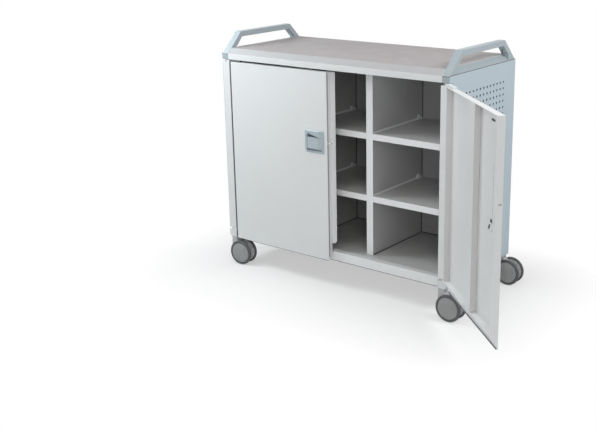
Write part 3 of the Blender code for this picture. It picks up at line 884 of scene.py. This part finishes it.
def build_latch():
    low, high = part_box("latch_bezel")
    paddle_low, paddle_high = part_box("latch_paddle")
    bezel = latch_frame(low, high)
    cut_out(bezel, pocket_cutter(low, high, paddle_low, paddle_high))
    cut_out(bezel, scoop_cutter(low, paddle_low, paddle_high))
    fit(bezel, "left_door", "thin_sheet")
    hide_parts("latch_bezel")
    paddle = latch_paddle(paddle_low, paddle_high, low, high)
    fit(paddle, "paddle", "thin_sheet")
    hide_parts("latch_paddle")


# Door fittings

def build_knuckles():
    """Drums and sleeves that fill the slots in the posts where the door arms turn."""
    edge = knuckle_edge
    for side in sides:
        pivot = Vector(joints[f"{side}_door_hinge"]["pos_m"])
        for level in levels:
            arm_low, arm_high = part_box(f"{side}_{level}_arm")
            low = arm_high.z - arm_thickness - knuckle_clearance
            high = arm_high.z + knuckle_clearance
            profile = (
                (0.0, low),
                (knuckle_radius - edge, low),
                (knuckle_radius, low + edge),
                (knuckle_radius, high - edge),
                (knuckle_radius - edge, high),
                (knuckle_radius * 0.45, high),
                (knuckle_radius * 0.38, high - edge),
                (0.0, high - edge),
            )
            builder = bmesh.new()
            turn(builder, profile, 32)
            half = arm_width / 2 + edge / 2
            reach = post_width * 0.62
            add_block(builder, (knuckle_radius * 0.8, -half, low + edge / 2), (reach, half, high - edge / 2))
            knuckle = object_from(builder, f"{side}_{level}_pivot_knuckle", "white_paint")
            smooth_shade(knuckle)
            towards = (arm_low + arm_high) / 2 - pivot
            knuckle.location = (pivot.x, pivot.y, 0.0)
            knuckle.rotation_euler.z = math.atan2(towards.y, towards.x)
            fit(knuckle, f"{side}_door")


def build_gap_shade_strips():
    """Dark flat strips on the posts' inner faces, in the gaps beside the doors' hinge edges: painted shade
    that darkens the gaps.
    """
    door_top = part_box("left_door_pan")[1].z
    near = front_y + gap_shade_front
    for side, sign in (("left", -1), ("right", 1)):
        arm_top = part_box(f"{side}_lower_arm")[1].z
        face = center_x + sign * (half_width - post_width)
        edges = sorted((face, face - sign * gap_shade_thickness))
        outline = rounded_box((edges[0], near), (edges[1], near + gap_shade_width), gap_shade_thickness * 0.45)
        spans = (
            (panel_bottom + gap_shade_end, arm_top - arm_thickness - arm_slot_clearance),
            (arm_top + arm_slot_clearance, door_top),
        )
        builder = bmesh.new()
        for low_z, high_z in spans:
            prism(builder, outline, "Z", low_z, high_z)
        seal = object_from(builder, f"{side}_gap_shade_strip", "painted_shade_rubber")
        smooth_shade(seal)
        fit(seal, "cabinet")


def build_edge_shade_strip():
    """Grey strip along the left door's free edge, with room for the bolt: painted shade for the shadow line
    and the shaded return of that edge.
    """
    low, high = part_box("left_door_pan")
    bolt_low, bolt_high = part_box("latch_bolt")
    near = front_y + edge_shade_front
    spans = (
        (low.z + edge_shade_ends[0], bolt_low.z - bolt_room),
        (bolt_high.z + bolt_room, high.z - edge_shade_ends[1]),
    )
    builder = bmesh.new()
    for low_z, high_z in spans:
        block_low = (high.x, near, low_z)
        block_high = (high.x + edge_shade_thickness, near + edge_shade_width, high_z)
        add_block(builder, block_low, block_high)
    strip = object_from(builder, "left_door_edge_shade_strip", "edge_shade_strip")
    fit(strip, "left_door", "strip")


def hang_on_right_door(piece, edge=None):
    """Takes a piece drawn on the closed right door to where the door stands at rest."""
    joint = joints["right_door_hinge"]
    hinge = Vector(joint["pos_m"])
    opened = Matrix.Rotation(-math.radians(joint["range_deg"][0]), 4, "Z")
    piece.matrix_world = Matrix.Translation(hinge) @ opened @ Matrix.Translation(-hinge)
    fit(piece, "right_door", edge)


def build_right_door_fittings():
    """Slot with its rim near the top of the right door's inner face, drawn as a dark plate inside the rim
    that is painted shade of the opening, and the keeper beside the strike.
    """
    door_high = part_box("right_door_pan")[1].z
    inner_face = front_y + sheet
    middle = (center_x + door_slot_inset, door_high - door_slot_drop)
    half = (door_slot_length / 2, door_slot_height / 2)
    builder = bmesh.new()
    for material, (margin, start, end) in enumerate(door_slot_layers):
        low = (middle[0] - half[0] - margin, middle[1] - half[1] - margin)
        high = (middle[0] + half[0] + margin, middle[1] + half[1] + margin)
        outline = rounded_box(low, high, half[1] + margin - touch, 5)
        prism(builder, outline, "Y", inner_face + start, inner_face + end, material)
    slot = object_from(builder, "right_door_slot", "white_paint", "catch_moulding")
    hang_on_right_door(slot)
    pin_z = joints["paddle_turn"]["pos_m"][2]
    shapes = (rounded_box(*keeper_plate, 0.0020), keeper_hook, rounded_box(*keeper_stud, 0.0015))
    builder = bmesh.new()
    for shape, rise in zip(shapes, keeper_rises):
        outline = [(center_x + x, pin_z + z) for x, z in shape]
        prism(builder, outline, "Y", inner_face + touch, inner_face + rise)
    keeper = object_from(builder, "right_door_keeper", "catch_moulding")
    hang_on_right_door(keeper, "pin")


def bottom_shade_strip(name, low_x, high_x, near, top):
    """Dark rubber strip with a flat top, a round bead in front and a thin flap behind it, as painted shade
    along a bottom edge.
    """
    bead = shade_strip_height / 2
    outline = [(near + shade_strip_width, top), (near + bead, top)]
    outline += arc((near + bead, top - bead), bead, 90, 270, 8)
    outline += [(near + 2 * bead, top - bead), (near + shade_strip_width, top - bead)]
    builder = bmesh.new()
    prism(builder, outline, "X", low_x + shade_strip_end, high_x - shade_strip_end)
    trim = object_from(builder, name, "painted_shade_rubber")
    smooth_shade(trim)
    return trim


def build_bottom_shade_strips():
    """Dark strips under both doors and under the bottom panel's front: painted shade that makes dark lines
    along those bottom edges.
    """
    low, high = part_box("left_door_pan")
    near = front_y + shade_strip_front
    trim = bottom_shade_strip("left_door_bottom_shade_strip", low.x, high.x, near, low.z - touch)
    fit(trim, "left_door")
    mirrored = (2 * center_x - high.x, 2 * center_x - low.x)
    trim = bottom_shade_strip("right_door_bottom_shade_strip", *mirrored, near, low.z - touch)
    hang_on_right_door(trim)
    low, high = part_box("bottom_panel")
    trim = bottom_shade_strip("bottom_panel_shade_strip", low.x, high.x, low.y + shade_strip_front, low.z - touch)
    fit(trim, "cabinet")


# Carcass fittings

def build_shelf_fittings():
    """Turned-up side lips and the clips that hold each shelf to its walls."""
    for column in columns:
        for level in levels:
            low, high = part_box(f"{column}_{level}_shelf")
            builder = bmesh.new()
            for wall, inward in ((low.x, 1), (high.x, -1)):
                face = wall + inward * lip_thickness
                lip_low = (wall, low.y + lip_end, high.z + lip_lift)
                lip_high = (face, high.y - lip_end, high.z + lip_height)
                add_block(builder, lip_low, lip_high)
                y = high.y - clip_inset
                foot = high.z + clip_lift
                outline = [(y - clip_width / 2, foot), (y + clip_width / 2, foot)]
                outline += arc((y, high.z + clip_height), clip_width / 2, 0, 180, 8)
                prism(builder, outline, "X", face + inward * lip_lift, face + inward * clip_thickness)
            fittings = object_from(builder, f"{column}_{level}_shelf_clips", "white_paint")
            fit(fittings, "cabinet", "pin")


def build_corner_shade_lines():
    """Painted shade: dark lines where the back panel and the floor meet the dividers and the side panels."""
    divider_low, divider_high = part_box("left_divider")
    bottom = divider_low.z
    top = divider_high.z
    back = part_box("back_panel")[0].y
    start = divider_low.y + corner_room
    base = (bottom + hair_gap, bottom + floor_shade_line)
    for column in columns:
        lower_low, lower_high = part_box(f"{column}_lower_shelf")
        upper_low, upper_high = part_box(f"{column}_upper_shelf")
        builder = bmesh.new()
        spans = ((bottom, lower_low.z), (lower_high.z, upper_low.z), (upper_high.z, top))
        for wall, inward in ((lower_low.x, 1), (lower_high.x, -1)):
            edges = sorted((wall + inward * hair_gap, wall + inward * (hair_gap + corner_depth)))
            for low_z, high_z in spans:
                block_low = (edges[0], back - corner_shade_line, low_z + corner_end)
                add_block(builder, block_low, (edges[1], back - touch, high_z - corner_end))
            end = back - corner_shade_line - 2 * touch
            add_block(builder, (edges[0], start, base[0]), (edges[1], end, base[1]))
        rear = (back - hair_gap - corner_depth, back - hair_gap)
        room = (lower_low.x + corner_room, lower_high.x - corner_room)
        add_block(builder, (room[0], rear[0], base[0]), (room[1], rear[1], base[1]))
        gaps = object_from(builder, f"{column}_corner_shade_lines", "painted_shade_sheet")
        fit(gaps, "cabinet")


def build_handle_shade_seams():
    """Dark strips between the handles and the skins' top edges, also across the front of each foot: painted
    shade for the shadow gap in these seams.
    """
    for side, sign in (("left", -1), ("right", 1)):
        low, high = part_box(f"{side}_handle")
        inner, outer = (high.x, low.x) if sign < 0 else (low.x, high.x)
        rim = center_x + sign * half_width
        top = skin_high.z
        builder = bmesh.new()
        back_y = front_y + cabinet_depth - shade_seam_end
        add_block(builder, (outer, front_y + shade_seam_end, top), (rim, back_y, top + shade_seam_height))
        ahead, behind = shade_seam_front
        add_block(builder, (inner, front_y - ahead, top - shade_seam_height), (rim, front_y + behind, top))
        seam = object_from(builder, f"{side}_handle_shade_seam", "painted_shade_rubber")
        fit(seam, "cabinet", "strip")


def build_back_screws():
    """Screws that hold the back panel, with round sockets in their heads."""
    low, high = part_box("back_panel")
    profile = (
        (0.0, screw_head - screw_socket),
        (0.0013, screw_head - screw_socket),
        (0.0014, screw_head),
        (0.0025, screw_head - 0.0002),
        (screw_radius - 0.0002, screw_head - 0.0012),
        (screw_radius, 0.0),
        (0.0, 0.0),
    )
    face = low.y + sheet + touch
    middle = (low.z + high.z) / 2
    width = high.x - low.x - 2 * screw_inset
    facing_back = Matrix.Rotation(math.radians(-90), 4, "X")
    all_shares = (0.0, 0.25, 0.5, 0.75, 1.0)
    rows = (
        (low.z + screw_inset, all_shares),
        (middle, (0.0, 0.5, 1.0)),
        (high.z - screw_inset, all_shares),
    )
    builder = bmesh.new()
    for z, shares in rows:
        for share in shares:
            spot = Vector((low.x + screw_inset + share * width, face, z))
            add_turned(builder, profile, 20, Matrix.Translation(spot) @ facing_back)
    screws = object_from(builder, "back_panel_screws", "bright_steel")
    smooth_shade(screws)
    fit(screws, "cabinet")


# Floor, light and camera

def build_floor():
    finish["floor"] = floor_finish()
    builder = bmesh.new()
    reach = floor_reach
    points = ((-reach, -reach), (reach, -reach), (reach, reach), (-reach, reach))
    builder.faces.new([builder.verts.new((x, y, 0.0)) for x, y in points])
    floor = object_from(builder, "floor", "floor")


def floor_finish():
    """White floor, of which what the camera sees turns to plain white away from the object."""
    material, tree, shader = start_material("studio_floor")
    place = texture_place(tree)
    clouds = spread(tree, noise(tree, place, 0.6, 3.0), 0.3, 0.7, 0.0, 1.0)
    tree.links.new(mix(tree, clouds, (0.93, 0.93, 0.93), (0.95, 0.95, 0.95)), shader.inputs["Base Color"])
    shader.inputs["Roughness"].default_value = 0.9
    shader.inputs["Specular IOR Level"].default_value = 0.0
    fade = spread(tree, distance_outside(tree, place), *fade_span, fade_start, 1.0)
    seen = multiply(tree, fade, seen_rays(tree))
    glow = tree.nodes.new("ShaderNodeEmission")
    glow.inputs["Color"].default_value = (1.0, 1.0, 1.0, 1.0)
    glow.inputs["Strength"].default_value = 1.0
    both = tree.nodes.new("ShaderNodeMixShader")
    tree.links.new(seen, both.inputs["Fac"])
    tree.links.new(shader.outputs["BSDF"], both.inputs[1])
    tree.links.new(glow.outputs["Emission"], both.inputs[2])
    tree.links.new(both.outputs["Shader"], tree.nodes["Material Output"].inputs["Surface"])
    return material


def distance_outside(tree, place):
    """How far a point of the floor lies outside the worktop's outline, seen from above."""
    middle = (worktop_low + worktop_high) / 2
    half = (worktop_high - worktop_low) / 2
    vectors = []
    for operation in ("SUBTRACT", "ABSOLUTE", "SUBTRACT", "MAXIMUM", "LENGTH"):
        vectors.append(tree.nodes.new("ShaderNodeVectorMath"))
        vectors[-1].operation = operation
    tree.links.new(place.outputs["Object"], vectors[0].inputs[0])
    vectors[0].inputs[1].default_value = (middle.x, middle.y, 0.0)
    vectors[2].inputs[1].default_value = (half.x, half.y, 0.0)
    vectors[3].inputs[1].default_value = (0.0, 0.0, 0.0)
    for first, second in zip(vectors, vectors[1:]):
        tree.links.new(first.outputs["Vector"], second.inputs[0])
    return vectors[-1].outputs["Value"]


def seen_rays(tree):
    """One for camera, glossy and transmission rays."""
    rays = tree.nodes.new("ShaderNodeLightPath")
    total = rays.outputs["Is Camera Ray"]
    for name in ("Is Glossy Ray", "Is Transmission Ray"):
        larger = tree.nodes.new("ShaderNodeMath")
        larger.operation = "MAXIMUM"
        tree.links.new(total, larger.inputs[0])
        tree.links.new(rays.outputs[name], larger.inputs[1])
        total = larger.outputs["Value"]
    return total


def build_world():
    world = bpy.data.worlds.new("studio")
    bpy.context.scene.world = world
    world.use_nodes = True
    tree = world.node_tree
    around = tree.nodes["Background"]
    around.inputs["Color"].default_value = (1.0, 1.0, 1.0, 1.0)
    around.inputs["Strength"].default_value = ambient
    seen = tree.nodes.new("ShaderNodeBackground")
    seen.inputs["Color"].default_value = (1.0, 1.0, 1.0, 1.0)
    seen.inputs["Strength"].default_value = 1.0
    both = tree.nodes.new("ShaderNodeMixShader")
    tree.links.new(seen_rays(tree), both.inputs["Fac"])
    tree.links.new(around.outputs["Background"], both.inputs[1])
    tree.links.new(seen.outputs["Background"], both.inputs[2])
    tree.links.new(both.outputs["Shader"], tree.nodes["World Output"].inputs["Surface"])


def add_lamp(name, place, target, size, power, colour=(1.0, 1.0, 1.0)):
    lamp = bpy.data.lights.new(name, "AREA")
    lamp.shape = "DISK"
    lamp.size = size
    lamp.energy = power
    lamp.color = colour
    holder = bpy.data.objects.new(name, lamp)
    bpy.context.scene.collection.objects.link(holder)
    holder.location = Vector((center_x, front_y, 0.0)) + Vector(place)
    aim = Vector((center_x, front_y, 0.0)) + Vector(target) - holder.location
    holder.rotation_euler = aim.to_track_quat("-Z", "Y").to_euler()


def build_lamps():
    cool = (0.90, 0.975, 1.0)
    warm = (1.0, 0.985, 0.965)
    add_lamp("left", (-0.95, -0.45, 1.25), (-0.35, 0.0, 0.65), 0.6, 10.2, cool)
    add_lamp("front", (0.1, -1.1, 1.9), (0.0, 0.1, 0.5), 0.9, 4.4, warm)
    add_lamp("high", (0.15, -0.5, 2.1), (0.05, 0.0, 0.4), 0.7, 2.0)
    add_lamp("right", (0.62, -0.40, 2.0), (0.40, 0.1, 0.70), 0.6, 2.6, warm)
    add_lamp("fill", (1.7, -1.9, 1.6), (0.2, 0.1, 0.4), 1.1, 10.0)
    add_lamp("low", (1.45, -1.75, 0.55), (-0.05, 0.2, 0.30), 0.7, 1.8)
    add_lamp("side", (1.9, 0.4, 2.0), (0.4, 0.2, 0.6), 1.0, 25.0)
    add_lamp("back", (-0.5, 1.95, 0.55), (-0.1, 0.4, 0.45), 0.4, 6.0)


def build_camera():
    right = Vector((math.cos(camera_yaw), math.sin(camera_yaw), 0.0))
    flat = Vector((-math.sin(camera_yaw), math.cos(camera_yaw), 0.0))
    forward = flat * math.cos(camera_pitch) + Vector((0.0, 0.0, -math.sin(camera_pitch)))
    up = right.cross(forward)
    across = right * math.cos(camera_roll) + up * math.sin(camera_roll)
    above = up * math.cos(camera_roll) - right * math.sin(camera_roll)
    data = bpy.data.cameras.new("camera")
    data.sensor_fit = "HORIZONTAL"
    data.sensor_width = sensor_width
    data.lens = focal_pixels * sensor_width / image_width
    data.shift_x = (image_width / 2 - optical_center[0]) / image_width
    data.shift_y = (optical_center[1] - image_height / 2) / image_width
    data.clip_end = 200.0
    camera = bpy.data.objects.new("camera", data)
    bpy.context.scene.collection.objects.link(camera)
    turned = Matrix((across, above, -forward)).transposed().to_4x4()
    camera.matrix_world = Matrix.Translation(camera_place + Vector((center_x, front_y, 0.0))) @ turned
    bpy.context.scene.camera = camera


dress_carcass()
dress_doors()
dress_casters()
build_skins()
build_hole_shade_sheets()
build_wheels()
build_latch()
build_knuckles()
build_gap_shade_strips()
build_edge_shade_strip()
build_right_door_fittings()
build_bottom_shade_strips()
build_shelf_fittings()
build_corner_shade_lines()
build_handle_shade_seams()
build_back_screws()
build_floor()
build_world()
build_lamps()
build_camera()
bpy.context.scene.view_settings.view_transform = "Standard"
